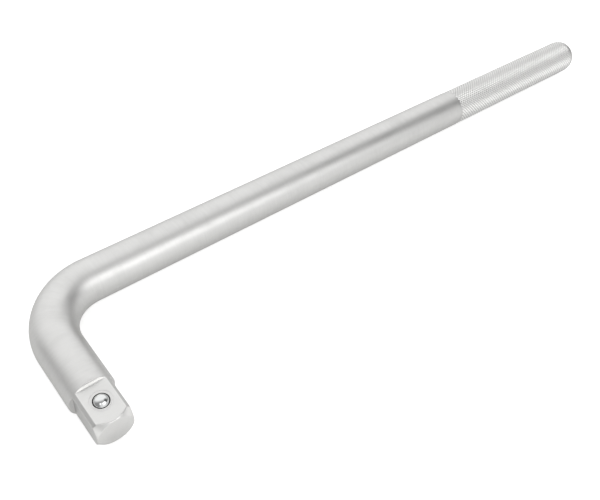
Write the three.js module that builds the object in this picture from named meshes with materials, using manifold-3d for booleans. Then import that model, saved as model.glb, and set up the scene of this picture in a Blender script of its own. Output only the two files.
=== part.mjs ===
import * as THREE from 'three';
import { mergeVertices } from 'three/addons/utils/BufferGeometryUtils.js';
import ManifoldModule from 'manifold-3d';

// An L-handle that turns square-drive sockets. Millimetres, +Z up.
// It lies on its side: the drive points along -Y, the long arm along +X, and the
// detent ball looks up. The origin is the centre of the drive's end face.

// Bar
const BAR_DIAMETER = 24.5;
const OVERALL_LENGTH = 472; // grip's tip to the outside of the bend
const DRIVE_REACH = 85.5; // centre line of the long arm to the drive's end face
const BEND_RADIUS = 32; // at the bar's centre line

// Square drive
const SQUARE_WIDTH = 19; // across flats
const SQUARE_LENGTH = 22.4; // end face to shoulder, along a flat
const END_BEVEL_ANGLE = 45; // degrees from the drive's axis, turned all round
const END_BEVEL_BITE = 0.3; // how far the bevel cuts into the middle of each flat
const SHOULDER_DRAFT = 5; // degrees that the shoulder leans back towards the bar
const SHOULDER_FILLET = 0.4; // in the corner of flat and shoulder
const SHOULDER_EDGE_RADIUS = 0.6; // on the shoulder's outer edge
const SHOULDER_EDGE_SINK = 0.9; // share of that radius below the bar's surface
const SHOULDER_ROUND_SHARE = 1 / 3; // most of the shoulder's height that either round takes
const FLATS = 4;

// Knurled grip, whose crests stand level with the bar
const GRIP_LENGTH = 139; // from the tip
const GRIP_GROOVE_WIDTH = 1.6; // turned groove where the knurl begins
const GRIP_GROOVE_DEPTH = 0.6;
const TIP_ROUND_LENGTH = 7; // rounded edge of the tip, along the bar
const TIP_ROUND_DEPTH = 2.5; // the same edge, across the bar

// Ball detent in the drive's upper flat
const DETENT_FROM_END = 12.3; // end face to the ball's axis
const BALL_DIAMETER = 8.5;
const BALL_STAND_OUT = 2.3; // above the flat, at rest
const BALL_CLEARANCE = 0.2; // all round, to the bore and to the staked lip
const BORE_END_WALL = 3.5; // metal left between the drill point and the lower flat
const DRILL_POINT_ANGLE = 118; // degrees, included
const STAKE_RING_OFFSET = 1; // middle of the staking groove to the bore's mouth
const STAKE_RING_WIDTH = 0.9;
const STAKE_RING_DEPTH = 0.2;

// Spring under the ball
const SPRING_WIRE_DIAMETER = 0.9;
const SPRING_SIDE_CLEARANCE = 0.4; // to the bore
const SPRING_SEAT_GAP = 0.2; // to the ball above and to the drill point below
const SPRING_TURN_GAP = 0.6; // least gap between turns

// Facets
const BAR_SIDES = 64;
const BEND_STEPS = 18;
const BORE_SIDES = 48;
const ARC_STEPS = 4; // a round stretch of a profile has twice as many
const BALL_SIDES = 40;
const BALL_RINGS = 24;
const WIRE_SIDES = 8;
const STEPS_PER_TURN = 20;
const CUT_MARGIN = 5; // how far a cutter reaches past what it cuts
const WELD = 1e-4;

// Finishes
const SATIN_CHROME = { color: 0xc9cac8, roughness: 0.38, metalness: 1 };
const POLISHED_STEEL = { color: 0xd6d8d9, roughness: 0.08, metalness: 1 };
const SPRING_STEEL = { color: 0x8f9294, roughness: 0.3, metalness: 1 };

const { degToRad } = THREE.MathUtils;
const barRadius = BAR_DIAMETER / 2;
const flatHeight = SQUARE_WIDTH / 2;
const ballRadius = BALL_DIAMETER / 2;
const ballHeight = flatHeight + BALL_STAND_OUT - ballRadius;
const boreRadius = ballRadius + BALL_CLEARANCE;
const mouthRadius = Math.sqrt(boreRadius ** 2 - (flatHeight - ballHeight) ** 2);
const drillPointSlope = 1 / Math.tan(degToRad(DRILL_POINT_ANGLE / 2));
const drillPointTip = BORE_END_WALL - flatHeight;

const wasm = await ManifoldModule();
wasm.setup();

// A closed geometry as a solid: shared corners welded, collapsed triangles left out.
function toSolid(geometry) {
  const bare = geometry.clone();
  bare.deleteAttribute('normal');
  bare.deleteAttribute('uv');
  const welded = mergeVertices(bare, WELD);
  const corners = welded.index.array;
  const triangles = [];
  for (let i = 0; i < corners.length; i += 3) {
    const [a, b, c] = corners.slice(i, i + 3);
    if (a !== b && b !== c && c !== a) {
      triangles.push(a, b, c);
    }
  }
  const vertProperties = new Float32Array(welded.attributes.position.array);
  const triVerts = new Uint32Array(triangles);
  return new wasm.Manifold(new wasm.Mesh({ numProp: 3, vertProperties, triVerts }));
}

function toGeometry(solid) {
  const { vertProperties, triVerts } = solid.getMesh();
  const geometry = new THREE.BufferGeometry();
  geometry.setAttribute('position', new THREE.BufferAttribute(vertProperties, 3));
  geometry.setIndex(new THREE.BufferAttribute(triVerts, 1));
  geometry.computeVertexNormals();
  return geometry;
}

// The bar as it leaves the lathe: straight along +Y, from the drive's end to the grip's tip.
const bendStart = DRIVE_REACH - BEND_RADIUS;
const bendArc = (BEND_RADIUS * Math.PI) / 2;
const longArmEnd = OVERALL_LENGTH - barRadius;
const blankLength = bendStart + bendArc + longArmEnd - BEND_RADIUS;

function turnedBlank() {
  const endFaceRadius = flatHeight - END_BEVEL_BITE;
  const endBevel = (barRadius - endFaceRadius) / Math.tan(degToRad(END_BEVEL_ANGLE));
  const gripStart = blankLength - GRIP_LENGTH;
  const profile = new THREE.Path();
  profile.moveTo(0, 0);
  profile.lineTo(endFaceRadius, 0);
  profile.lineTo(barRadius, endBevel);
  for (let step = 0; step <= BEND_STEPS; step++) {
    profile.lineTo(barRadius, bendStart + (bendArc * step) / BEND_STEPS);
  }
  profile.lineTo(barRadius, gripStart - GRIP_GROOVE_WIDTH / 2);
  profile.lineTo(barRadius - GRIP_GROOVE_DEPTH, gripStart);
  profile.lineTo(barRadius, gripStart + GRIP_GROOVE_WIDTH / 2);
  profile.absellipse(
    barRadius - TIP_ROUND_DEPTH,
    blankLength - TIP_ROUND_LENGTH,
    TIP_ROUND_DEPTH,
    TIP_ROUND_LENGTH,
    0,
    Math.PI / 2,
  );
  profile.lineTo(0, blankLength);
  return new THREE.LatheGeometry(profile.getPoints(ARC_STEPS), BAR_SIDES);
}

// Bends the blank a quarter turn towards +X, about its unstretched centre line.
function bend(blank) {
  const points = blank.attributes.position;
  for (let i = 0; i < points.count; i++) {
    const inwards = points.getX(i);
    const along = points.getY(i) - bendStart;
    const angle = THREE.MathUtils.clamp(along / BEND_RADIUS, 0, Math.PI / 2);
    const beyond = along - angle * BEND_RADIUS;
    const reach = BEND_RADIUS - inwards;
    points.setX(i, BEND_RADIUS - reach * Math.cos(angle) + beyond * Math.sin(angle));
    points.setY(i, bendStart + reach * Math.sin(angle) + beyond * Math.cos(angle));
  }
  return blank;
}

// What is cut away over the upper flat: the flat, a filleted shoulder and its rounded edge.
function flatCutter() {
  const draft = degToRad(SHOULDER_DRAFT);
  const largestRound = SHOULDER_ROUND_SHARE * (barRadius - flatHeight);
  const fillet = Math.min(SHOULDER_FILLET, largestRound);
  const edge = Math.min(SHOULDER_EDGE_RADIUS, largestRound);
  const filletCentre = SQUARE_LENGTH - fillet / Math.tan((Math.PI / 2 + draft) / 2);
  const edgeHeight = barRadius - SHOULDER_EDGE_SINK * edge;
  const edgeLean = (edgeHeight - flatHeight) * Math.sin(draft);
  const edgeCentre = SQUARE_LENGTH + (edge + edgeLean) / Math.cos(draft);
  const profile = new THREE.Shape();
  profile.moveTo(-CUT_MARGIN, flatHeight);
  profile.lineTo(filletCentre, flatHeight);
  profile.absarc(filletCentre, flatHeight + fillet, fillet, -Math.PI / 2, -draft, false);
  profile.absarc(edgeCentre, edgeHeight, edge, Math.PI - draft, Math.PI / 2, true);
  profile.lineTo(edgeCentre, barRadius + CUT_MARGIN);
  profile.lineTo(-CUT_MARGIN, barRadius + CUT_MARGIN);
  const depth = BAR_DIAMETER + 2 * CUT_MARGIN;
  const cutter = new THREE.ExtrudeGeometry(profile, {
    depth,
    bevelEnabled: false,
    curveSegments: ARC_STEPS,
  });
  cutter.translate(0, 0, -depth / 2);
  const along = new THREE.Vector3(0, 1, 0);
  const up = new THREE.Vector3(0, 0, 1);
  const across = new THREE.Vector3(1, 0, 0);
  return cutter.applyMatrix4(new THREE.Matrix4().makeBasis(along, up, across));
}

// A turned cutter that stands on the detent's axis.
function detentCutter(profilePoints) {
  const cutter = new THREE.LatheGeometry(profilePoints, BORE_SIDES);
  cutter.rotateX(Math.PI / 2);
  return cutter.translate(0, DETENT_FROM_END, 0);
}

// Blind bore with a drill point below, and above the ball a lip staked to the ball's own curve.
function boreCutter() {
  const top = flatHeight + CUT_MARGIN;
  const lipAngle = Math.acos((mouthRadius - BALL_CLEARANCE / 2) / boreRadius);
  const profile = new THREE.Path();
  profile.moveTo(0, drillPointTip);
  profile.lineTo(boreRadius, drillPointTip + boreRadius * drillPointSlope);
  profile.absarc(0, ballHeight, boreRadius, 0, lipAngle, false);
  profile.lineTo(boreRadius * Math.cos(lipAngle), top);
  profile.lineTo(0, top);
  return detentCutter(profile.getPoints(ARC_STEPS));
}

// The V-shaped ring that the staking punch leaves round the bore's mouth. The cutter's V stands
// as far above the flat as below it, so it is twice the groove's width at its top.
function stakeRingCutter() {
  const middle = mouthRadius + STAKE_RING_OFFSET;
  const bottom = flatHeight - STAKE_RING_DEPTH;
  const top = flatHeight + STAKE_RING_DEPTH;
  return detentCutter([
    new THREE.Vector2(middle, bottom),
    new THREE.Vector2(middle + STAKE_RING_WIDTH, top),
    new THREE.Vector2(middle - STAKE_RING_WIDTH, top),
    new THREE.Vector2(middle, bottom),
  ]);
}

function bentBar() {
  let bar = toSolid(bend(turnedBlank()));
  for (let flat = 0; flat < FLATS; flat++) {
    const cutter = flatCutter().rotateY((2 * Math.PI * flat) / FLATS);
    bar = bar.subtract(toSolid(cutter));
  }
  bar = bar.subtract(toSolid(boreCutter()));
  bar = bar.subtract(toSolid(stakeRingCutter()));
  return toGeometry(bar);
}

function detentBall() {
  const ball = new THREE.SphereGeometry(ballRadius, BALL_SIDES, BALL_RINGS);
  return ball.rotateX(Math.PI / 2);
}

class Helix extends THREE.Curve {
  constructor(radius, low, high, turns) {
    super();
    Object.assign(this, { radius, low, high, turns });
  }

  getPoint(t, target = new THREE.Vector3()) {
    const angle = 2 * Math.PI * this.turns * t;
    const height = THREE.MathUtils.lerp(this.low, this.high, t);
    return target.set(this.radius * Math.cos(angle), this.radius * Math.sin(angle), height);
  }
}

// Least gap between the turns of a spring, measured on points of its centre line.
function leastTurnGap(points) {
  let least = Infinity;
  for (let i = 0; i < points.length; i++) {
    for (let j = i + STEPS_PER_TURN / 2; j < points.length; j++) {
      least = Math.min(least, points[i].distanceTo(points[j]));
    }
  }
  return least - SPRING_WIRE_DIAMETER;
}

// An open-ended coil that stands on the drill point's cone and carries the ball on its top turn.
function detentSpring() {
  const wireRadius = SPRING_WIRE_DIAMETER / 2;
  const coilRadius = boreRadius - SPRING_SIDE_CLEARANCE - wireRadius;
  const coneTilt = Math.atan(drillPointSlope);
  const seat = drillPointTip + coilRadius * drillPointSlope;
  const low = seat + (wireRadius + SPRING_SEAT_GAP) / Math.cos(coneTilt);
  const ballToWire = ballRadius + SPRING_SEAT_GAP + wireRadius;
  const high = ballHeight - Math.sqrt(ballToWire ** 2 - coilRadius ** 2);
  const turns = Math.floor((high - low) / (SPRING_WIRE_DIAMETER + SPRING_TURN_GAP));
  const steps = turns * STEPS_PER_TURN;
  const helix = new Helix(coilRadius, low, high, turns);
  console.log(`spring: ${turns} turns, least gap ${leastTurnGap(helix.getPoints(steps)).toFixed(2)} mm`);
  const section = [];
  for (let side = 0; side < WIRE_SIDES; side++) {
    const angle = (2 * Math.PI * side) / WIRE_SIDES;
    section.push(new THREE.Vector2(wireRadius * Math.cos(angle), wireRadius * Math.sin(angle)));
  }
  return new THREE.ExtrudeGeometry(new THREE.Shape(section), { steps, extrudePath: helix });
}

function piece(name, geometry, finish) {
  const mesh = new THREE.Mesh(geometry, new THREE.MeshStandardMaterial(finish));
  mesh.name = name;
  return mesh;
}

const ball = piece('detent_ball', detentBall(), POLISHED_STEEL);
ball.position.z = ballHeight;
const spring = piece('detent_spring', detentSpring(), SPRING_STEEL);

const detent = new THREE.Group();
detent.position.y = DETENT_FROM_END;
detent.add(ball, spring);

const wrench = new THREE.Group();
wrench.name = 'l_handle_wrench';
wrench.add(piece('bent_bar', bentBar(), SATIN_CHROME), detent);

export default wrench;
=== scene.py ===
"""Dresses an L-handle wrench: a bent bar with a square drive, a knurled grip and a ball detent.

Lengths are metres, in the frame's own axes. The drive points along -Y, the long arm along +X, the
detent ball looks up, and the origin is the centre of the drive's end face.
"""

import math

import bmesh
import bpy
import numpy as np
from bpy.props import FloatProperty, FloatVectorProperty, IntProperty, PointerProperty
from bpy.types import Operator, Panel, PropertyGroup
from mathutils import Matrix, Vector


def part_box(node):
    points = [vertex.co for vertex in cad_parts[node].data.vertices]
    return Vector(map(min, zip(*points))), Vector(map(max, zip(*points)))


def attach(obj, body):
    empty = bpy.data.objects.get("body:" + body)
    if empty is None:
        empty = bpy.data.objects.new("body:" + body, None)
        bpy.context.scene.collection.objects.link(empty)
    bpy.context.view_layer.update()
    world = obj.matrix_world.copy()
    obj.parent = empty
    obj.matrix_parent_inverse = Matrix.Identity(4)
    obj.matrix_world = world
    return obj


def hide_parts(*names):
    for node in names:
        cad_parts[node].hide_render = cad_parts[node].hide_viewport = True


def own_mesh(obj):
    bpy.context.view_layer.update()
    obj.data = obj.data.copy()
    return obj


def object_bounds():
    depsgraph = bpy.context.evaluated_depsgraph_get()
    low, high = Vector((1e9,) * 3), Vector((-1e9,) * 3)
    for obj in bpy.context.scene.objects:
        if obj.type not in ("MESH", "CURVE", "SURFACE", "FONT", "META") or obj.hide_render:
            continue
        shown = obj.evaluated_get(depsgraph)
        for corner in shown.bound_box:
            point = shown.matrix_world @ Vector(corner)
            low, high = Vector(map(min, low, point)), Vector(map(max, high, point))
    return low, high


bl_info = {
    "name": "L-Handle Wrench",
    "version": (1, 0, 0),
    "blender": (4, 5, 0),
    "location": "3D View > Sidebar > Wrench",
    "description": "Makes an L-handle wrench around its packed frame, with a studio to show it in",
    "category": "Add Mesh",
}

MM = 0.001
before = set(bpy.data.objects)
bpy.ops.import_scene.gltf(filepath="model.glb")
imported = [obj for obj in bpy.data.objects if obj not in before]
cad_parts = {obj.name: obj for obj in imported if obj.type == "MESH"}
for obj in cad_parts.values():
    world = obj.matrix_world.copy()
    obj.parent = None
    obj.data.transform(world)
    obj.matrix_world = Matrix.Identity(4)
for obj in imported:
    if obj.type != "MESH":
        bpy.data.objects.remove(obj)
CAD_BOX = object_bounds()
BAR_LOW, BAR_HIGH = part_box("bent_bar")
BALL_LOW, BALL_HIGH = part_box("detent_ball")
SPRING_LOW, SPRING_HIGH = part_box("detent_spring")
BALL_CENTRE = (BALL_LOW + BALL_HIGH) / 2
BAR_RADIUS = (BAR_HIGH.z - BAR_LOW.z) / 2
DRIVE_REACH = BAR_HIGH.y - BAR_RADIUS
ARM_END = BAR_HIGH.x

# Facets
SHARP_ANGLE = math.radians(32)
FLAT_STEPS = 16
CORNER_STEPS = 16
LAND_STEPS = 3
BEVEL_RINGS = 30
ARC_RINGS = 7
FILLET_RINGS = 14
WALL_RINGS = 24
SHORT_ARM_RINGS = 8
BEND_RINGS = 56
LONG_ARM_RINGS = 16
CORE_RINGS = 24
TIP_RINGS = 20
BORE_SIDES = 128
BALL_SUBDIVISIONS = 5
WIRE_SIDES = 16
STEPS_PER_TURN = 48
CORNER_SPREAD = 1.2  # half the stretch of close facets at a corner, in corner roundings

# Noise of the finishes, in steps per metre. Lines run across the axis with the most steps.
CLOUD_SCALE = 70.0
GRAIN_SCALE = 2600.0
GROUND_LINES = (120, 900, 120)
MILLED_LINES = (40, 2400, 0)
KNURL_LINES = (900, 900, 900)
RUB_LINES = (4200, 160, 160)
DIE_LINES = (200, 200, 3600)
MOTTLE_SCALE = 6.0

# Shares and limits of the finishes
CLOUD_STAIN = 0.45
SCORE_STAIN = 0.3
CREST_STAIN = 0.4
BALL_STAIN = 0.3
# Power of the knurl's painted shade as it fades from each diamond's foot up to its crest
GROOVE_SHADE_FALLOFF = 1.5
EDGE_POLISH = 0.12  # roughness that rubbing takes away
EDGE_RUB = 0.2  # rubbing of the drive's edges, as a share of the shoulder's painted highlight
MILLED_MARGIN = 1 / 8  # turned rim that milling leaves, in corner roundings
MOTTLE = 0.03
MOTTLE_SHADE = 0.9

# Studio. Headings are degrees round from the front towards the right, and degrees above the floor.
FLOOR_REACH = 6.0
# Painted pool of light on the floor in front of the drive, seen only in reflections: none behind
# the first y, full beyond the second
FLOOR_DARK_Y = 15 * MM
FLOOR_LIT_Y = -25 * MM
SOFTBOX_DISTANCE = 1.5
KEY_HEADING = (14, 39)
KEY_SIZE = (1.25, 0.85)
FILL_HEADING = (-52, 42)
FILL_SIZE = (0.5, 0.5)
# Patches of the walls: heading, and the cosines of the angles where they begin and are full
GLOW_PATCH = ((165, 36), 0.2, 0.8)
FRONT_PATCH = ((0, 20), 0.55, 0.95)
SIDE_PATCH = ((62, 0), 0.93, 0.99)
SCREEN_PATCH = ((72, 38), 0.9, 0.985)
SENSOR_WIDTH = 36


def length(name, description, millimetres):
    return FloatProperty(
        name=name, description=description, default=millimetres * MM, unit="LENGTH"
    )


def angle(name, description, degrees):
    return FloatProperty(
        name=name, description=description, default=math.radians(degrees), subtype="ANGLE"
    )


def share(name, description, default):
    return FloatProperty(name=name, description=description, default=default, subtype="FACTOR")


def brightness(name, description, default):
    return FloatProperty(name=name, description=description, default=default, min=0)


def colour(name, description, default):
    return FloatVectorProperty(
        name=name, description=description, default=default, size=3, subtype="COLOR", min=0, max=1
    )


class BarSizes(PropertyGroup):
    """Sizes of the bent bar and its square drive."""

    bend_radius: length("Bend Radius", "Radius of the bend at the bar's centre line", 32)
    square_width: length("Square Width", "Width of the drive across its flats", 19)
    square_length: length(
        "Square Length", "Length of a flat from the end face to the shoulder", 22.4
    )
    bevel_bite: length("Bevel Bite", "How far the end bevel cuts into the middle of a flat", 0.3)
    bevel_edge: length("Bevel Edge", "Rounding between the end face and its bevel", 0.35)
    bevel_round: length(
        "Bevel Round", "Reach of the rounding where the bevel meets the corners", 0.15
    )
    corner_round: length(
        "Corner Round", "Reach of the rounding where flats meet the turned corners", 0.25
    )
    shoulder_draft: angle("Shoulder Draft", "Lean of the shoulder towards the bar", 8)
    shoulder_fillet: length("Shoulder Fillet", "Fillet between a flat and the shoulder", 0.3)
    shoulder_edge: length("Shoulder Edge", "Rounding on the outside of the shoulder", 1.2)
    shoulder_sink: length("Shoulder Sink", "How far the rounding would end above the bar", 0.25)
    tip_length: length("Tip Length", "Length of the tip's rounded edge", 7)
    tip_depth: length("Tip Depth", "Depth of the tip's rounded edge across the bar", 2.5)


class KnurlSizes(PropertyGroup):
    """Sizes of the diamond knurl on the grip."""

    grip_length: length("Grip Length", "Length of the grip from the tip", 139)
    starts: IntProperty(name="Starts", description="Grooves each way round the bar", default=32)
    helix: angle("Helix Angle", "Slope of the grooves from the bar's axis", 45)
    depth: length("Groove Depth", "Depth of the grooves below the crests", 0.33)
    shoulder: share("Shoulder Share", "Width of a diamond where its crest starts to round", 0.45)
    crest: share("Crest Share", "Width of a diamond's flat crest as a share of its foot", 0.25)
    crown: share(
        "Crown Share", "Height of a diamond's rounded crest as a share of the groove", 0.15
    )
    sink: length("Sink", "How deep each diamond's foot is set into the bar", 0.06)
    relief: length("Relief Length", "Turned relief at the knurl's start", 0.7)
    edge: length("Edge Length", "Length of the rounded edge before the knurl", 1.3)


class DetentSizes(PropertyGroup):
    """Sizes of the ball detent."""

    clearance: length("Ball Clearance", "Gap between the ball and its bore", 0.35)
    bore_wall: length("End Wall", "Metal between the drill point and the lower flat", 3.5)
    drill_point: angle("Drill Point", "Included angle of the drill point", 118)
    ring_offset: length("Ring Offset", "Staking ring from the bore's mouth", 1)
    ring_width: length("Ring Width", "Width of the staking ring", 0.9)
    ring_depth: length("Ring Depth", "Depth of the staking ring", 0.12)
    wear: length("Crown Wear", "Height that sockets have rubbed off the ball's crown", 0.02)
    wire: length("Wire Diameter", "Diameter of the spring's wire", 0.9)
    turns: IntProperty(name="Turns", description="Turns of the spring", default=4)


class FinishColours(PropertyGroup):
    """Colours of the finishes."""

    chrome: colour("Satin Chrome", "Plated bar", (0.625, 0.623, 0.614))
    chrome_dark: colour("Worn Chrome", "Darker patches of the plating", (0.515, 0.513, 0.506))
    rim: colour("Rim", "Plating where it is seen edge-on", (0.78, 0.78, 0.78))
    # Painted highlight on the top of the shoulder, and a little brightening of the drive's edges as
    # wear
    edge: colour("Burnished Edge", "Drive's edges and shoulder, rubbed bright", (0.92, 0.92, 0.91))
    crest: colour("Knurl Crest", "Burnished crests of the knurl", (0.80, 0.798, 0.79))
    crest_rim: colour("Knurl Rim", "Knurl where it is seen edge-on", (0.42, 0.42, 0.42))
    # Painted shade towards the foot of each knurl diamond; on the spring, a random cloudy tone
    groove: colour("Groove", "Film in the knurl's grooves", (0.47, 0.47, 0.46))
    ball: colour("Polished Steel", "Detent ball", (0.63, 0.64, 0.64))
    wire: colour("Spring Wire", "Drawn spring wire", (0.42, 0.43, 0.44))
    floor: colour("Floor", "Pale studio floor", (0.74, 0.74, 0.735))


class StudioSettings(PropertyGroup):
    """Camera and light of the studio."""

    focal_length: FloatProperty(
        name="Focal Length", description="Lens in millimetres on a 36 mm sensor", default=42.56
    )
    camera_place: FloatVectorProperty(
        name="Camera Place",
        description="Where the camera stands",
        default=(-58.2 * MM, -152.8 * MM, 305.4 * MM),
        size=3,
        subtype="TRANSLATION",
        unit="LENGTH",
    )
    azimuth: angle("Azimuth", "Direction of view round the wrench", -46.10)
    elevation: angle("Elevation", "Height of the view above the horizon", 47.84)
    roll: angle("Roll", "Turn of the camera about its own axis", 9.27)
    walls: brightness("Walls", "Brightness of the studio's walls", 0.38)
    glow: brightness("Glow", "Brightness of the lit wall behind", 0.98)
    front: brightness("Front", "Brightness of the lit wall in front", 0.72)
    side: brightness("Side", "Brightness of the low lit wall on the right", 0.6)
    shade: share("Shade", "How much the dark screen on the right takes away", 0.7)
    key: brightness("Key", "Brightness of the front softbox", 1.55)
    fill: brightness("Fill", "Brightness of the small softbox on the left", 1.2)
    table: brightness("Table", "Brightness that the floor gives off", 0.23)
    # Painted pool of light on the floor in front of the drive, seen only in reflections
    painted_front_pool: brightness("Table Front", "The same in front of the drive", 0.58)
    paper: brightness("Paper", "Brightness of the floor in the picture", 0.56)


class WrenchSettings(PropertyGroup):
    """All sizes and colours of the wrench."""

    bar: PointerProperty(type=BarSizes)
    knurl: PointerProperty(type=KnurlSizes)
    detent: PointerProperty(type=DetentSizes)
    finish: PointerProperty(type=FinishColours)
    studio: PointerProperty(type=StudioSettings)


def smooth_min(a, b, reach):
    """The lesser of two heights, with their crossing rounded over the given reach."""
    overlap = np.clip(reach - np.abs(a - b), 0, None) / reach
    return np.minimum(a, b) - overlap**2 * reach / 4


def link(name, data):
    made = bpy.data.objects.new(name, data)
    bpy.context.scene.collection.objects.link(made)
    return made


def mesh_from(name, points, faces):
    mesh = bpy.data.meshes.new(name)
    mesh.from_pydata([tuple(p) for p in points], [], faces)
    mesh.update()
    return mesh


def evaluated_copy(name, source):
    """The object's mesh with its modifiers applied, as a new object. The source is removed."""
    depsgraph = bpy.context.evaluated_depsgraph_get()
    mesh = bpy.data.meshes.new_from_object(source.evaluated_get(depsgraph))
    bpy.data.objects.remove(source)
    mesh.name = name
    return link(name, mesh)


def vertex_places(mesh):
    places = np.empty(len(mesh.vertices) * 3, np.float32)
    mesh.vertices.foreach_get("co", places)
    return places.reshape(-1, 3).astype(float)


def write_attribute(mesh, name, values):
    kind, key = ("FLOAT_VECTOR", "vector") if values.ndim == 2 else ("FLOAT", "value")
    attribute = mesh.attributes.new(name, kind, "POINT")
    attribute.data.foreach_set(key, values.astype(np.float32).ravel())


# Node helpers


class Nodes:
    """Adds and wires the nodes of one tree."""

    def __init__(self, tree):
        self.tree = tree

    def add(self, kind, inputs=None, **settings):
        node = self.tree.nodes.new(kind)
        for key, value in settings.items():
            setattr(node, key, value)
        for key, value in (inputs or {}).items():
            self.feed(node.inputs[key], value)
        return node

    def feed(self, socket, value):
        if isinstance(value, bpy.types.NodeSocket):
            self.tree.links.new(value, socket)
        else:
            socket.default_value = value

    def math(self, operation, *values):
        node = self.add("ShaderNodeMath", operation=operation)
        for socket, value in zip(node.inputs, values):
            self.feed(socket, value)
        return node.outputs[0]

    def mix(self, factor, low, high):
        node = self.add("ShaderNodeMix", data_type="RGBA")
        self.feed(node.inputs[0], factor)
        self.feed(node.inputs[6], low)
        self.feed(node.inputs[7], high)
        return node.outputs[2]

    def blend(self, factor, low, high):
        """The same as mix, for plain values."""
        node = self.add("ShaderNodeMix", data_type="FLOAT")
        self.feed(node.inputs[0], factor)
        self.feed(node.inputs[2], low)
        self.feed(node.inputs[3], high)
        return node.outputs[0]

    def noise(self, vector, scale, detail=2.0, roughness=0.5):
        node = self.add(
            "ShaderNodeTexNoise",
            {"Vector": vector, "Scale": scale, "Detail": detail, "Roughness": roughness},
        )
        return node.outputs[0]

    def stretch(self, vector, scale):
        node = self.add("ShaderNodeMapping", {"Vector": vector, "Scale": scale})
        return node.outputs[0]

    def span(self, value, low, high):
        """A value from 0 to 1, laid over the range from low to high."""
        node = self.add("ShaderNodeMapRange", {"Value": value, "To Min": low, "To Max": high})
        return node.outputs[0]


def rgba(value):
    return (*value, 1)


def floats(*names):
    return [(name, "NodeSocketFloat") for name in names]


def new_group(name, kind, inputs, outputs):
    """A node group with the given sockets, and its nodes' helper, input node and output node."""
    group = bpy.data.node_groups.new(name, kind)
    for socket, socket_type in inputs:
        group.interface.new_socket(name=socket, in_out="INPUT", socket_type=socket_type)
    for socket, socket_type in outputs:
        group.interface.new_socket(name=socket, in_out="OUTPUT", socket_type=socket_type)
    nodes = Nodes(group)
    return group, nodes, nodes.add("NodeGroupInput"), nodes.add("NodeGroupOutput")


def new_material(name):
    """A material with only its Principled shader and output."""
    material = bpy.data.materials.new(name)
    material.use_nodes = True
    return material, Nodes(material.node_tree), material.node_tree.nodes["Principled BSDF"]


def place_group(nodes, group, inputs):
    node = nodes.add("ShaderNodeGroup", node_tree=group)
    for key, value in inputs.items():
        nodes.feed(node.inputs[key], value)
    return node


def plated_grain():
    """Fine grain, faint cloudiness and draw lines of a plated steel surface."""
    found = bpy.data.node_groups.get("plated_grain")
    if found:
        return found
    group, nodes, given, made = new_group(
        "plated_grain",
        "ShaderNodeTree",
        [
            ("Vector", "NodeSocketVector"),
            ("Lines", "NodeSocketVector"),
            *floats("Low Roughness", "High Roughness", "Line Strength"),
        ],
        floats("Cloud", "Scores", "Roughness", "Height"),
    )
    vector = given.outputs["Vector"]
    cloud = nodes.noise(vector, CLOUD_SCALE, detail=4.0, roughness=0.6)
    fine = nodes.noise(vector, GRAIN_SCALE, detail=2.0, roughness=0.6)
    lines = nodes.noise(given.outputs["Lines"], 1.0, detail=3.0, roughness=0.6)
    rough = nodes.blend(0.5, cloud, lines)
    ranged = nodes.add(
        "ShaderNodeMapRange",
        {
            "Value": rough,
            "From Min": 0.3,
            "From Max": 0.7,
            "To Min": given.outputs["Low Roughness"],
            "To Max": given.outputs["High Roughness"],
        },
    )
    scored = nodes.math("MULTIPLY", lines, given.outputs["Line Strength"])
    nodes.feed(made.inputs["Cloud"], cloud)
    nodes.feed(made.inputs["Scores"], lines)
    nodes.feed(made.inputs["Roughness"], ranged.outputs[0])
    nodes.feed(made.inputs["Height"], nodes.math("ADD", fine, scored))
    return group


def cutter_sweep(nodes, blank):
    """Place across the tool marks: rings on the end face and bevel, shallow arcs on the flats."""
    parts = nodes.add("ShaderNodeSeparateXYZ", {0: blank}).outputs
    across = nodes.add("ShaderNodeCombineXYZ", {"X": parts["X"], "Z": parts["Z"]}).outputs[0]
    out = nodes.add("ShaderNodeVectorMath", {0: across}, operation="LENGTH").outputs["Value"]
    along = nodes.math("ADD", parts["Y"], out)
    sweep = nodes.add("ShaderNodeCombineXYZ", {"X": parts["X"], "Y": along})
    return nodes.stretch(sweep.outputs[0], MILLED_LINES)


def grain(nodes, vector, lines, low, high, strength):
    """The plated grain between a low and a high roughness, with lines of the given strength."""
    return place_group(
        nodes,
        plated_grain(),
        {
            "Vector": vector,
            "Lines": lines,
            "Low Roughness": low,
            "High Roughness": high,
            "Line Strength": strength,
        },
    ).outputs


def feed_metal(nodes, shader, tint, roughness, height, strength, distance):
    """Feeds a bare metal's colour, roughness and bump."""
    bump = nodes.add(
        "ShaderNodeBump", {"Strength": strength, "Distance": distance, "Height": height}
    )
    nodes.feed(shader.inputs["Base Color"], tint)
    nodes.feed(shader.inputs["Roughness"], roughness)
    nodes.feed(shader.inputs["Normal"], bump.outputs[0])
    shader.inputs["Metallic"].default_value = 1.0


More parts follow.
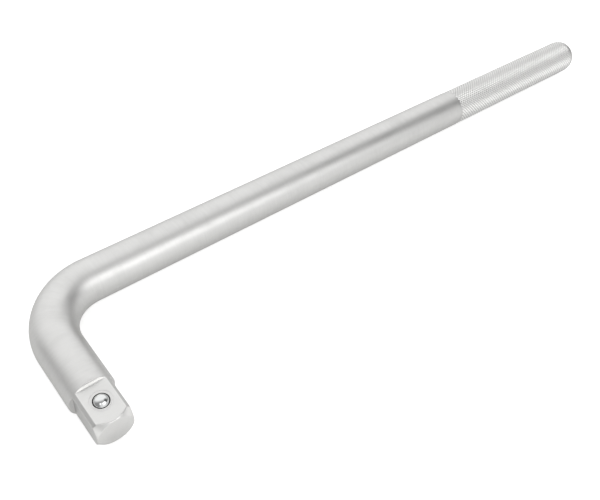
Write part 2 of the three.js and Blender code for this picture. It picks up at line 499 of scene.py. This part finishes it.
def satin_chrome(finish):
    """The bar's plating: ground round the bar, milled across the flats, worn bright on the drive's
    edges, with a painted highlight on the shoulder's top.
    """
    material, nodes, shader = new_material("satin_chrome")
    blank = nodes.add("ShaderNodeAttribute", attribute_name="blank").outputs["Vector"]
    milled = nodes.add("ShaderNodeAttribute", attribute_name="milled").outputs["Fac"]
    edge = nodes.add("ShaderNodeAttribute", attribute_name="edge").outputs["Fac"]
    rings = nodes.stretch(blank, GROUND_LINES)
    ground = grain(nodes, blank, rings, low=0.36, high=0.52, strength=1.0)
    sweep = cutter_sweep(nodes, blank)
    flat = grain(nodes, blank, sweep, low=0.26, high=0.42, strength=3.0)
    rough = nodes.blend(milled, ground["Roughness"], flat["Roughness"])
    rough = nodes.math("MULTIPLY_ADD", edge, -EDGE_POLISH, rough)
    height = nodes.blend(milled, ground["Height"], flat["Height"])
    stain = nodes.span(ground["Cloud"], 0.0, CLOUD_STAIN)
    stain = nodes.math("MULTIPLY_ADD", ground["Scores"], SCORE_STAIN, stain)
    tint = nodes.mix(stain, rgba(finish.chrome), rgba(finish.chrome_dark))
    # Painted highlight on the shoulder's top, and wear on the drive's edges, through the edge mask
    tint = nodes.mix(edge, tint, rgba(finish.edge))
    feed_metal(nodes, shader, tint, rough, height, strength=0.12, distance=0.02 * MM)
    shader.inputs["Specular Tint"].default_value = rgba(finish.rim)
    return material


def knurled_chrome(finish):
    """The knurl's plating: bright crests, with painted shade darkening towards the foot of each
    diamond.
    """
    material, nodes, shader = new_material("knurled_chrome")
    place = nodes.add("ShaderNodeTexCoord").outputs["Object"]
    rise = nodes.add("ShaderNodeAttribute", attribute_name="rise").outputs["Fac"]
    lines = nodes.stretch(place, KNURL_LINES)
    plate = grain(nodes, place, lines, low=0.30, high=0.42, strength=0.3)
    # Painted shade: darker from each diamond's crest down to its foot
    film = nodes.math("POWER", nodes.span(rise, 1.0, 0.0), GROOVE_SHADE_FALLOFF)
    stain = nodes.span(plate["Cloud"], 0.0, CREST_STAIN)
    tint = nodes.mix(stain, rgba(finish.crest), rgba(finish.chrome))
    tint = nodes.mix(film, tint, rgba(finish.groove))
    height = plate["Height"]
    feed_metal(nodes, shader, tint, plate["Roughness"], height, strength=0.1, distance=0.02 * MM)
    shader.inputs["Specular Tint"].default_value = rgba(finish.crest_rim)
    return material


def polished_steel(finish):
    """The ball: polished, with fine rub marks along the way that sockets slide."""
    material, nodes, shader = new_material("polished_steel")
    place = nodes.add("ShaderNodeTexCoord").outputs["Object"]
    lines = nodes.stretch(place, RUB_LINES)
    steel = grain(nodes, place, lines, low=0.04, high=0.12, strength=0.6)
    stain = nodes.span(steel["Cloud"], 0.0, BALL_STAIN)
    tint = nodes.mix(stain, rgba(finish.ball), rgba(finish.chrome))
    height = steel["Height"]
    feed_metal(nodes, shader, tint, steel["Roughness"], height, strength=0.03, distance=0.005 * MM)
    return material


def drawn_wire(finish):
    """The spring: drawn wire with fine die lines and a thin film of oil."""
    material, nodes, shader = new_material("drawn_wire")
    place = nodes.add("ShaderNodeTexCoord").outputs["Object"]
    lines = nodes.stretch(place, DIE_LINES)
    steel = grain(nodes, place, lines, low=0.24, high=0.40, strength=0.8)
    tint = nodes.mix(steel["Cloud"], rgba(finish.wire), rgba(finish.groove))
    height = steel["Height"]
    feed_metal(nodes, shader, tint, steel["Roughness"], height, strength=0.1, distance=0.01 * MM)
    return material


# Bent bar


class Blank:
    """The bar along +Y, before it is bent: rings of turned radius and milled half width."""

    def __init__(self, settings):
        self.bar = settings.bar
        self.knurl = settings.knurl
        self.half_width = self.bar.square_width / 2
        self.bend_start = DRIVE_REACH - self.bar.bend_radius
        self.bend_arc = self.bar.bend_radius * math.pi / 2
        self.length = self.bend_start + self.bend_arc + ARM_END - self.bar.bend_radius
        self.knurl_start = self.length - self.knurl.grip_length
        self.knurl_end = self.length - self.bar.tip_length
        self.core_radius = BAR_RADIUS - self.knurl.depth
        self.round_width = BAR_RADIUS + self.bar.corner_round
        self.rings = []

    def ring(self, along, radius, half_width=None):
        self.rings.append((along, radius, half_width or self.round_width))

    def tip_turn(self, depth):
        """Turn along the tip's rounded edge at which it is the given depth below the bar."""
        return math.acos(1 - depth / self.bar.tip_depth)

    def make_drive(self):
        """End face, bevel and flats, up to the foot of the shoulder."""
        bar = self.bar
        face_radius = self.half_width - bar.bevel_bite
        flat_radius = face_radius - bar.bevel_edge * math.tan(math.pi / 8)
        for turn in np.linspace(0, math.pi / 4, ARC_RINGS):
            rise = bar.bevel_edge * (1 - math.cos(turn))
            self.ring(rise, flat_radius + bar.bevel_edge * math.sin(turn), self.half_width)
        first = self.rings[-1][0]
        last = BAR_RADIUS - face_radius + bar.bevel_round
        for along in np.linspace(first, last, BEVEL_RINGS + 1)[1:]:
            cone = face_radius + along
            self.ring(along, float(smooth_min(cone, BAR_RADIUS, bar.bevel_round)), self.half_width)
        foot = bar.square_length - bar.shoulder_fillet
        for along in np.linspace(last, foot, FLAT_STEPS)[1:-1]:
            self.ring(along, BAR_RADIUS, self.half_width)

    def make_shoulder(self):
        """Fillet, leaning wall and rounded edge, from the square to the round."""
        bar = self.bar
        draft = bar.shoulder_draft
        fillet = bar.shoulder_fillet
        edge = bar.shoulder_edge
        lean = math.pi / 2 - draft
        foot = bar.square_length - fillet / math.tan((math.pi / 2 + draft) / 2)
        for turn in np.linspace(0, lean, FILLET_RINGS):
            rise = fillet * (1 - math.cos(turn))
            self.ring(foot + fillet * math.sin(turn), BAR_RADIUS, self.half_width + rise)
        wall_start, _, wall_low = self.rings[-1]
        top = BAR_RADIUS + bar.shoulder_sink
        wall_high = top - edge * (1 - math.cos(lean))
        for width in np.linspace(wall_low, wall_high, WALL_RINGS)[1:]:
            self.ring(wall_start + (width - wall_low) * math.tan(draft), BAR_RADIUS, width)
        wall_end = self.rings[-1][0]
        for turn in np.linspace(lean, 0, ARC_RINGS)[1:]:
            along = wall_end + edge * (math.sin(lean) - math.sin(turn))
            self.ring(along, BAR_RADIUS, top - edge * (1 - math.cos(turn)))

    def make_arms(self):
        """Short arm, bend and long arm, up to the knurl."""
        for along in np.linspace(self.rings[-1][0], self.bend_start, SHORT_ARM_RINGS)[1:]:
            self.ring(along, BAR_RADIUS)
        bend_end = self.bend_start + self.bend_arc
        for along in np.linspace(self.bend_start, bend_end, BEND_RINGS)[1:]:
            self.ring(along, BAR_RADIUS)
        stop = self.knurl_start - self.knurl.edge
        for along in np.linspace(bend_end, stop, LONG_ARM_RINGS)[1:]:
            self.ring(along, BAR_RADIUS)

    def make_grip(self):
        """Rounded step to the knurl's core, the core, and the rounded tip that ends the knurl."""
        bar = self.bar
        knurl = self.knurl
        for turn in np.linspace(0, math.pi / 2, 2 * ARC_RINGS)[1:]:
            along = self.knurl_start - knurl.edge * (1 - math.sin(turn))
            self.ring(along, BAR_RADIUS - knurl.depth * (1 - math.cos(turn)))
        run_out = self.tip_turn(knurl.depth)
        core_end = self.knurl_end + bar.tip_length * math.sin(run_out)
        for along in np.linspace(self.knurl_start, core_end, CORE_RINGS)[1:-1]:
            self.ring(along, self.core_radius)
        for turn in np.linspace(run_out, math.pi / 2, TIP_RINGS):
            depth = bar.tip_depth * (1 - math.cos(turn))
            self.ring(self.knurl_end + bar.tip_length * math.sin(turn), BAR_RADIUS - depth)

    def angles(self):
        """Angles round a ring from +Z, close together where flats meet the turned corners."""
        corner = math.acos(self.half_width / BAR_RADIUS)
        spread = CORNER_SPREAD * self.bar.corner_round / (BAR_RADIUS * math.sin(corner))
        eighth = math.pi / 4
        steps = [
            np.linspace(0, corner - spread, FLAT_STEPS, endpoint=False),
            np.linspace(corner - spread, corner + spread, CORNER_STEPS, endpoint=False),
            np.linspace(corner + spread, eighth, LAND_STEPS, endpoint=False),
        ]
        up = np.concatenate(steps)
        quarter = np.concatenate([up, [eighth], 2 * eighth - up[:0:-1]])
        return np.concatenate([quarter + turn * math.pi / 2 for turn in range(4)])

    def surface(self):
        """Points and faces of the blank, with both ends closed."""
        angles = self.angles()
        facing = np.maximum(np.abs(np.cos(angles)), np.abs(np.sin(angles)))
        points = []
        for along, radius, half_width in self.rings:
            turned_radius = np.full_like(angles, radius)
            reach = smooth_min(turned_radius, half_width / facing, self.bar.corner_round)
            level = np.full_like(angles, along)
            points.append(np.stack([reach * np.sin(angles), level, reach * np.cos(angles)], axis=1))
        count = len(angles)
        rings = len(self.rings)
        points = np.concatenate([*points, [[0, 0, 0], [0, self.length, 0]]])
        faces = []
        for ring in range(rings - 1):
            for step in range(count):
                low = ring * count + step
                low_next = ring * count + (step + 1) % count
                faces.append((low, low_next, low_next + count, low + count))
        start = rings * count
        last = (rings - 1) * count
        for step in range(count):
            after = (step + 1) % count
            faces.append((start, after, step))
            faces.append((start + 1, last + step, last + after))
        return points, faces

    def bent(self, points):
        """The points after the bar is bent a quarter turn towards +X."""
        radius = self.bar.bend_radius
        along = points[:, 1] - self.bend_start
        turn = np.clip(along / radius, 0, math.pi / 2)
        beyond = along - turn * radius
        reach = radius - points[:, 0]
        x = radius - reach * np.cos(turn) + beyond * np.sin(turn)
        y = self.bend_start + reach * np.sin(turn) + beyond * np.cos(turn)
        return np.stack([x, y, points[:, 2]], axis=1)

    def unbent(self, points):
        """Where the points of the bent bar lay on the straight blank."""
        radius = self.bar.bend_radius
        x = points[:, 0] - radius
        y = points[:, 1] - self.bend_start
        turn = np.arctan2(np.maximum(y, 0), np.maximum(-x, 0))
        turn[(x > 0) & (y > 0)] = math.pi / 2
        reach = np.where(y <= 0, -x, np.where(x >= 0, y, np.hypot(x, y)))
        turn = np.where(y <= 0, 0, turn)
        beyond = np.where(y <= 0, y, np.where(x >= 0, x, 0))
        along = self.bend_start + turn * radius + beyond
        return np.stack([radius - reach, along, points[:, 2]], axis=1)


def turned(profile, centre):
    """A closed solid turned about an upright axis, from a profile of (radius, height) pairs."""
    # Half a step round keeps the cutter's corners off the flat's middle edge.
    angles = (np.arange(BORE_SIDES) + 0.5) * 2 * math.pi / BORE_SIDES
    made = bmesh.new()
    rows = []
    for radius, height in profile:
        if radius == 0:
            rows.append([made.verts.new((centre.x, centre.y, height))])
        else:
            around = centre.x + radius * np.cos(angles), centre.y + radius * np.sin(angles)
            rows.append([made.verts.new((x, y, height)) for x, y in zip(*around)])
    for low, high in zip(rows, rows[1:] + rows[:1]):
        if len(low) == len(high) == 1:
            continue
        for step in range(BORE_SIDES):
            after = (step + 1) % BORE_SIDES
            ring = [low[step % len(low)], low[after % len(low)]]
            ring += [high[after % len(high)], high[step % len(high)]]
            made.faces.new(list(dict.fromkeys(ring)))
    bmesh.ops.recalc_face_normals(made, faces=made.faces)
    mesh = bpy.data.meshes.new("cutter")
    made.to_mesh(mesh)
    made.free()
    return link("cutter", mesh)


def bore_profile(settings):
    """Drill point, wall and the lip that is staked over the ball."""
    detent = settings.detent
    flat = settings.bar.square_width / 2
    radius = BALL_HIGH.x + detent.clearance
    point = detent.bore_wall - flat
    shoulder = point + radius / math.tan(detent.drill_point / 2)
    mouth = math.asin((flat - BALL_CENTRE.z) / radius)
    profile = [(0, point), (radius, shoulder)]
    for turn in np.linspace(0, mouth, 2 * ARC_RINGS):
        profile.append((radius * math.cos(turn), BALL_CENTRE.z + radius * math.sin(turn)))
    lip = radius * math.cos(mouth)
    break_edge = detent.clearance / 2
    profile.append((lip + break_edge, flat + break_edge))
    profile.append((0, flat + break_edge))
    return profile, lip


def ring_profile(settings, lip):
    """The staking punch's shallow round-bottomed ring."""
    detent = settings.detent
    flat = settings.bar.square_width / 2
    middle = lip + detent.ring_offset
    half_width = detent.ring_width / 2
    depth = detent.ring_depth
    profile = []
    for turn in np.linspace(0, math.pi, 2 * ARC_RINGS):
        profile.append((middle - half_width * math.cos(turn), flat - depth * math.sin(turn)))
    profile.append((middle + half_width, flat + depth))
    profile.append((middle - half_width, flat + depth))
    return profile


def cut(target, cutter):
    modifier = target.modifiers.new("cut", "BOOLEAN")
    modifier.operation = "DIFFERENCE"
    modifier.solver = "EXACT"
    modifier.object = cutter
    made = evaluated_copy(target.name, target)
    bpy.data.objects.remove(cutter)
    return made


def finish_piece(made, name, material, body, node):
    """Names the piece, gives it its material and ties it to the frame."""
    made.name = name
    made.data.name = name
    made.data.materials.clear()
    made.data.materials.append(material)
    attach(made, body)
    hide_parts(node)


class WRENCH_OT_bent_bar(Operator):
    """Make the plated bar with its square drive, bend, knurl core and rounded tip"""

    bl_idname = "wrench.bent_bar"
    bl_label = "Bent Bar"

    def execute(self, context):
        settings = context.scene.wrench
        blank = Blank(settings)
        blank.make_drive()
        blank.make_shoulder()
        blank.make_arms()
        blank.make_grip()
        points, faces = blank.surface()
        made = link("bar", mesh_from("bar", blank.bent(points), faces))
        profile, lip = bore_profile(settings)
        made = cut(made, turned(profile, BALL_CENTRE))
        made = cut(made, turned(ring_profile(settings, lip), BALL_CENTRE))
        places = vertex_places(made.data)
        write_attribute(made.data, "blank", blank.unbent(places))
        milled, edge = self.marks(settings.bar, places)
        write_attribute(made.data, "milled", milled)
        write_attribute(made.data, "edge", edge)
        made.data.shade_smooth()
        made.data.set_sharp_from_angle(angle=SHARP_ANGLE)
        material = satin_chrome(settings.finish)
        finish_piece(made, "bar_plated", material, "bar", "bent_bar")
        return {"FINISHED"}

    @staticmethod
    def marks(bar, places):
        """How far each point of the drive is milled, and how far it is brightened and smoothed.

        The shoulder over the ball's flat gets a painted highlight on its top, and the drive's edges
        a little brightening from wear.
        """
        half = bar.square_width / 2
        across = np.maximum(np.abs(places[:, 0]), np.abs(places[:, 2]))
        out = np.hypot(places[:, 0], places[:, 2])
        on_drive = places[:, 1] < bar.square_length + bar.shoulder_edge
        milled = on_drive & (out < BAR_RADIUS - bar.corner_round * MILLED_MARGIN)
        corner = np.abs(out - BAR_RADIUS) + np.abs(across - half)
        edge = np.clip(1 - corner / bar.corner_round, 0, 1)
        on_wall = on_drive & (places[:, 1] > bar.square_length)
        wall = np.clip((BAR_RADIUS - across) / (bar.shoulder_edge / 2) - 1, 0, 1) * milled
        # Painted highlight: only the shoulder's top, over the ball's flat, is brightened
        rubbed = wall * (places[:, 2] > half)
        edge = np.where(on_wall, rubbed, EDGE_RUB * edge * on_drive)
        return np.where(on_wall, wall, milled), edge


# Knurl


def end_tree(nodes, made, geometry, material):
    """Ends a geometry tree with a plain mesh of the given material."""
    real = nodes.add("GeometryNodeRealizeInstances", {"Geometry": geometry})
    done = nodes.add("GeometryNodeSetMaterial", {"Geometry": real.outputs[0], "Material": material})
    nodes.feed(made.inputs[0], done.outputs[0])


def knurl_tree(material):
    """Diamonds set round the grip in rows, every second row half a step round."""
    tree, nodes, given, made = new_group(
        "knurl",
        "GeometryNodeTree",
        [
            ("Rows", "NodeSocketInt"),
            ("Starts", "NodeSocketInt"),
            *floats("First Row", "Row Step", "Foot Radius", "Axis Height"),
            *floats("Half Length", "Half Width", "Shoulder Share", "Crest Share"),
            *floats("Flank Height", "Crown Height"),
        ],
        [("Geometry", "NodeSocketGeometry")],
    )
    sockets = given.outputs
    flank = nodes.add(
        "GeometryNodeMeshCone",
        {
            "Vertices": 4,
            "Radius Top": sockets["Shoulder Share"],
            "Radius Bottom": 1.0,
            "Depth": sockets["Flank Height"],
        },
        fill_type="NGON",
    )
    rise = nodes.add("ShaderNodeCombineXYZ", {"Z": sockets["Crown Height"]})
    crown = nodes.add(
        "GeometryNodeExtrudeMesh",
        {
            "Mesh": flank.outputs["Mesh"],
            "Selection": flank.outputs["Top"],
            "Offset": rise.outputs[0],
            "Offset Scale": 1.0,
        },
    )
    narrowing = nodes.math("DIVIDE", sockets["Crest Share"], sockets["Shoulder Share"])
    diamond = nodes.add(
        "GeometryNodeScaleElements",
        {"Geometry": crown.outputs["Mesh"], "Selection": crown.outputs["Top"], "Scale": narrowing},
    )
    scale = nodes.add(
        "ShaderNodeCombineXYZ", {"X": sockets["Half Length"], "Y": sockets["Half Width"], "Z": 1.0}
    )
    shaped = nodes.add(
        "GeometryNodeTransform", {"Geometry": diamond.outputs[0], "Scale": scale.outputs[0]}
    )
    total = nodes.math("MULTIPLY", sockets["Rows"], sockets["Starts"])
    line = nodes.add("GeometryNodeMeshLine", {"Count": total})
    index = nodes.add("GeometryNodeInputIndex").outputs[0]
    middle = nodes.math("ADD", index, 0.5)
    row = nodes.math("FLOOR", nodes.math("DIVIDE", middle, sockets["Starts"]))
    column = nodes.math("SUBTRACT", index, nodes.math("MULTIPLY", row, sockets["Starts"]))
    shift = nodes.math("MULTIPLY", nodes.math("MODULO", row, 2.0), 0.5)
    shifted = nodes.math("MULTIPLY", nodes.math("ADD", column, shift), 2 * math.pi)
    turn = nodes.math("DIVIDE", shifted, sockets["Starts"])
    along = nodes.math("MULTIPLY_ADD", row, sockets["Row Step"], sockets["First Row"])
    forward = nodes.math("MULTIPLY", nodes.math("SINE", turn), sockets["Foot Radius"])
    up = nodes.math("MULTIPLY", nodes.math("COSINE", turn), sockets["Foot Radius"])
    place = nodes.add(
        "ShaderNodeCombineXYZ",
        {"X": along, "Y": nodes.math("SUBTRACT", sockets["Axis Height"], forward), "Z": up},
    )
    points = nodes.add(
        "GeometryNodeSetPosition", {"Geometry": line.outputs[0], "Position": place.outputs[0]}
    )
    facing = nodes.add("ShaderNodeCombineXYZ", {"X": turn})
    rotation = nodes.add("FunctionNodeEulerToRotation", {"Euler": facing.outputs[0]})
    set_out = nodes.add(
        "GeometryNodeInstanceOnPoints",
        {
            "Points": points.outputs[0],
            "Instance": shaped.outputs[0],
            "Rotation": rotation.outputs[0],
        },
    )
    end_tree(nodes, made, set_out.outputs[0], material)
    return tree


def run_tree(name, tree, values):
    """The result of a node tree with the given named inputs, as a plain mesh object."""
    holder = link(name, bpy.data.meshes.new(name))
    modifier = holder.modifiers.new(name, "NODES")
    modifier.node_group = tree
    for item in tree.interface.items_tree:
        if item.in_out == "INPUT":
            modifier[item.identifier] = values[item.name]
    return evaluated_copy(name, holder)


class WRENCH_OT_knurl(Operator):
    """Make the diamonds of the knurled grip"""

    bl_idname = "wrench.knurl"
    bl_label = "Knurl"

    def execute(self, context):
        settings = context.scene.wrench
        knurl = settings.knurl
        half_width = math.pi * (BAR_RADIUS - knurl.depth) / knurl.starts
        half_length = half_width / math.tan(knurl.helix)
        blank = Blank(settings)
        tip_start = ARM_END - settings.bar.tip_length
        run_out = settings.bar.tip_length * math.sin(blank.tip_turn(knurl.depth))
        first = ARM_END - knurl.grip_length + knurl.relief + half_length
        last = tip_start + run_out - half_length
        rows = 1 + round((last - first) / half_length)
        material = knurled_chrome(settings.finish)
        made = run_tree(
            "knurl_diamonds",
            knurl_tree(material),
            {
                "Rows": rows,
                "Starts": knurl.starts,
                "First Row": first,
                "Row Step": (last - first) / (rows - 1),
                "Foot Radius": BAR_RADIUS - knurl.depth - knurl.sink,
                "Axis Height": DRIVE_REACH,
                "Half Length": half_length,
                "Half Width": half_width,
                "Shoulder Share": knurl.shoulder,
                "Crest Share": knurl.crest,
                "Flank Height": knurl.depth * (1 - knurl.crown) + knurl.sink,
                "Crown Height": knurl.depth * knurl.crown,
            },
        )
        places = vertex_places(made.data)
        self.turn_down(settings.bar, tip_start, places)
        made.data.vertices.foreach_set("co", places.astype(np.float32).ravel())
        out = np.hypot(places[:, 1] - DRIVE_REACH, places[:, 2])
        rise = np.clip((out - BAR_RADIUS + knurl.depth) / knurl.depth, 0, 1)
        write_attribute(made.data, "rise", rise)
        finish_piece(made, "knurl_diamonds", material, "bar", "bent_bar")
        return {"FINISHED"}

    @staticmethod
    def turn_down(bar, tip_start, places):
        """Cuts the diamonds off at the tip's rounded edge, as the lathe does."""
        reach = np.clip((places[:, 0] - tip_start) / bar.tip_length, 0, 1)
        limit = BAR_RADIUS - bar.tip_depth * (1 - np.sqrt(1 - reach**2))
        across = places[:, 1:] - [DRIVE_REACH, 0]
        out = np.linalg.norm(across, axis=1)
        places[:, 1:] = across * (np.minimum(out, limit) / out)[:, None] + [DRIVE_REACH, 0]


# Detent


class WRENCH_OT_detent_ball(Operator):
    """Make the polished detent ball, rubbed a little flat on its crown"""

    bl_idname = "wrench.detent_ball"
    bl_label = "Detent Ball"

    def execute(self, context):
        settings = context.scene.wrench
        made = bmesh.new()
        radius = BALL_HIGH.z - BALL_CENTRE.z
        bmesh.ops.create_icosphere(made, subdivisions=BALL_SUBDIVISIONS, radius=radius)
        crown = radius - settings.detent.wear
        for vert in made.verts:
            vert.co.z = min(vert.co.z, crown)
            vert.co += BALL_CENTRE
        mesh = bpy.data.meshes.new("ball_polished")
        made.to_mesh(mesh)
        made.free()
        mesh.shade_smooth()
        ball = link("ball_polished", mesh)
        material = polished_steel(settings.finish)
        finish_piece(ball, "ball_polished", material, "ball", "detent_ball")
        return {"FINISHED"}


def spring_tree(material):
    """A coil of round wire about an upright axis."""
    tree, nodes, given, made = new_group(
        "coil",
        "GeometryNodeTree",
        [
            *floats("Turns", "Coil Radius", "Coil Height", "Wire Radius"),
            ("Foot", "NodeSocketVector"),
        ],
        [("Geometry", "NodeSocketGeometry")],
    )
    sockets = given.outputs
    coil = nodes.add(
        "GeometryNodeCurveSpiral",
        {
            "Resolution": STEPS_PER_TURN,
            "Rotations": sockets["Turns"],
            "Start Radius": sockets["Coil Radius"],
            "End Radius": sockets["Coil Radius"],
            "Height": sockets["Coil Height"],
        },
    )
    section = nodes.add(
        "GeometryNodeCurvePrimitiveCircle",
        {"Resolution": WIRE_SIDES, "Radius": sockets["Wire Radius"]},
    )
    wire = nodes.add(
        "GeometryNodeCurveToMesh",
        {"Curve": coil.outputs[0], "Profile Curve": section.outputs[0], "Fill Caps": True},
    )
    seated = nodes.add(
        "GeometryNodeTransform", {"Geometry": wire.outputs[0], "Translation": sockets["Foot"]}
    )
    end_tree(nodes, made, seated.outputs[0], material)
    return tree


class WRENCH_OT_detent_spring(Operator):
    """Make the coil spring under the ball"""

    bl_idname = "wrench.detent_spring"
    bl_label = "Detent Spring"

    def execute(self, context):
        settings = context.scene.wrench
        wire_radius = settings.detent.wire / 2
        foot = Vector((BALL_CENTRE.x, BALL_CENTRE.y, SPRING_LOW.z + wire_radius))
        material = drawn_wire(settings.finish)
        made = run_tree(
            "spring_coil",
            spring_tree(material),
            {
                "Turns": float(settings.detent.turns),
                "Coil Radius": SPRING_HIGH.x - wire_radius,
                "Coil Height": SPRING_HIGH.z - SPRING_LOW.z - 2 * wire_radius,
                "Wire Radius": wire_radius,
                "Foot": foot,
            },
        )
        made.data.shade_smooth()
        finish_piece(made, "spring_coil", material, "bar", "detent_spring")
        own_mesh(made)
        return {"FINISHED"}


# Studio


def floor_material(finish, studio):
    """Matt pale light table with a faint mottle, greyer in reflections than in the picture, with a
    painted pool of light in front of the drive.
    """
    material, nodes, shader = new_material("pale_floor")
    place = nodes.add("ShaderNodeTexCoord").outputs["Object"]
    mottle = nodes.span(nodes.noise(place, MOTTLE_SCALE, detail=3.0), 0.0, MOTTLE)
    shade = tuple(MOTTLE_SHADE * channel for channel in finish.floor)
    nodes.feed(shader.inputs["Base Color"], nodes.mix(mottle, rgba(finish.floor), rgba(shade)))
    shader.inputs["Roughness"].default_value = 0.9
    shader.inputs["Specular IOR Level"].default_value = 0.1
    # Painted pool of light: in reflections the floor glows brighter in front of the drive
    along = nodes.add("ShaderNodeSeparateXYZ", {0: place}).outputs["Y"]
    ahead = nodes.add(
        "ShaderNodeMapRange", {"Value": along, "From Min": FLOOR_DARK_Y, "From Max": FLOOR_LIT_Y}
    )
    table, front, paper = (
        rgba([level] * 3) for level in (studio.table, studio.painted_front_pool, studio.paper)
    )
    lit = nodes.mix(ahead.outputs[0], table, front)
    seen = nodes.add("ShaderNodeLightPath").outputs["Is Camera Ray"]
    nodes.feed(shader.inputs["Emission Color"], nodes.mix(seen, lit, paper))
    shader.inputs["Emission Strength"].default_value = 1.0
    return material


def heading(bearing, height):
    """The direction of a heading, as a unit vector."""
    bearing, height = math.radians(bearing), math.radians(height)
    flat = math.cos(height)
    return Vector((math.sin(bearing) * flat, -math.cos(bearing) * flat, math.sin(height)))


def spot(nodes, look, patch):
    """A soft round patch of the studio's walls: 0 outside and 1 inside."""
    towards, low, high = patch
    facing = nodes.add(
        "ShaderNodeVectorMath", {0: look, 1: heading(*towards)}, operation="DOT_PRODUCT"
    )
    node = nodes.add(
        "ShaderNodeMapRange",
        {"Value": facing.outputs["Value"], "From Min": low, "From Max": high},
        interpolation_type="SMOOTHSTEP",
    )
    return node.outputs[0]


def softbox(name, target, towards, size, radiance):
    """A panel of even brightness that faces the target from the given heading."""
    offset = heading(*towards) * SOFTBOX_DISTANCE
    light = bpy.data.lights.new(name, "AREA")
    light.shape = "RECTANGLE"
    light.size, light.size_y = size
    light.energy = math.pi * light.size * light.size_y * radiance
    made = link(name, light)
    made.location = target + offset
    made.rotation_euler = (-offset).to_track_quat("-Z", "Y").to_euler()


class WRENCH_OT_studio(Operator):
    """Make the floor, the soft light and the camera"""

    bl_idname = "wrench.studio"
    bl_label = "Studio"

    def execute(self, context):
        settings = context.scene.wrench
        self.make_floor(settings)
        self.make_light(context.scene, settings.studio)
        self.make_camera(context.scene, settings.studio)
        return {"FINISHED"}

    @staticmethod
    def make_floor(settings):
        level = CAD_BOX[0].z
        signs = [(-1, -1), (1, -1), (1, 1), (-1, 1)]
        corners = [(x * FLOOR_REACH, y * FLOOR_REACH, level) for x, y in signs]
        floor = link("floor", mesh_from("floor", corners, [(0, 1, 2, 3)]))
        floor.data.materials.append(floor_material(settings.finish, settings.studio))

    @staticmethod
    def make_light(scene, studio):
        world = bpy.data.worlds.new("studio")
        world.use_nodes = True
        nodes = Nodes(world.node_tree)
        look = nodes.add("ShaderNodeTexCoord").outputs["Generated"]
        lit = studio.walls
        for patch, bright in (
            (GLOW_PATCH, studio.glow),
            (FRONT_PATCH, studio.front),
            (SIDE_PATCH, studio.side),
        ):
            lit = nodes.math("MULTIPLY_ADD", spot(nodes, look, patch), bright, lit)
        screen = nodes.math("MULTIPLY_ADD", spot(nodes, look, SCREEN_PATCH), -studio.shade, 1.0)
        level = nodes.math("MULTIPLY", lit, screen)
        seen = nodes.add("ShaderNodeLightPath").outputs["Is Camera Ray"]
        plain = nodes.blend(seen, level, 1.0)
        background = world.node_tree.nodes["Background"]
        background.inputs["Color"].default_value = (1, 1, 1, 1)
        nodes.feed(background.inputs["Strength"], plain)
        scene.world = world
        centre = (CAD_BOX[0] + CAD_BOX[1]) / 2
        softbox("key", centre, KEY_HEADING, KEY_SIZE, studio.key)
        softbox("fill", centre, FILL_HEADING, FILL_SIZE, studio.fill)
        scene.view_settings.view_transform = "Standard"

    @staticmethod
    def make_camera(scene, studio):
        lens = bpy.data.cameras.new("camera")
        lens.sensor_fit = "HORIZONTAL"
        lens.sensor_width = SENSOR_WIDTH
        lens.lens = studio.focal_length
        lens.clip_start = 0.01
        lens.clip_end = 50
        camera = link("camera", lens)
        camera.location = studio.camera_place
        facing = Matrix.Rotation(studio.azimuth, 3, "Z")
        tilt = Matrix.Rotation(math.pi / 2 - studio.elevation, 3, "X")
        roll = Matrix.Rotation(studio.roll, 3, "Z")
        camera.rotation_euler = (facing @ tilt @ roll).to_euler()
        scene.camera = camera


PIECES = [
    WRENCH_OT_bent_bar,
    WRENCH_OT_knurl,
    WRENCH_OT_detent_ball,
    WRENCH_OT_detent_spring,
    WRENCH_OT_studio,
]


class WRENCH_PT_panel(Panel):
    """Lists the wrench's pieces and sizes"""

    bl_idname = "WRENCH_PT_panel"
    bl_label = "L-Handle Wrench"
    bl_space_type = "VIEW_3D"
    bl_region_type = "UI"
    bl_category = "Wrench"

    def draw(self, context):
        settings = context.scene.wrench
        for piece in PIECES:
            self.layout.operator(piece.bl_idname)
        for name in settings.__annotations__:
            group = getattr(settings, name)
            box = self.layout.box()
            for key in group.__annotations__:
                box.prop(group, key)


GROUPS = [BarSizes, KnurlSizes, DetentSizes, FinishColours, StudioSettings, WrenchSettings]
CLASSES = [*GROUPS, *PIECES, WRENCH_PT_panel]


def register():
    for cls in CLASSES:
        bpy.utils.register_class(cls)
    bpy.types.Scene.wrench = PointerProperty(type=WrenchSettings)


def unregister():
    del bpy.types.Scene.wrench
    for cls in reversed(CLASSES):
        bpy.utils.unregister_class(cls)


def main():
    register()
    bpy.ops.wrench.bent_bar()
    bpy.ops.wrench.knurl()
    bpy.ops.wrench.detent_ball()
    bpy.ops.wrench.detent_spring()
    bpy.ops.wrench.studio()


if __name__ == "__main__":
    main()
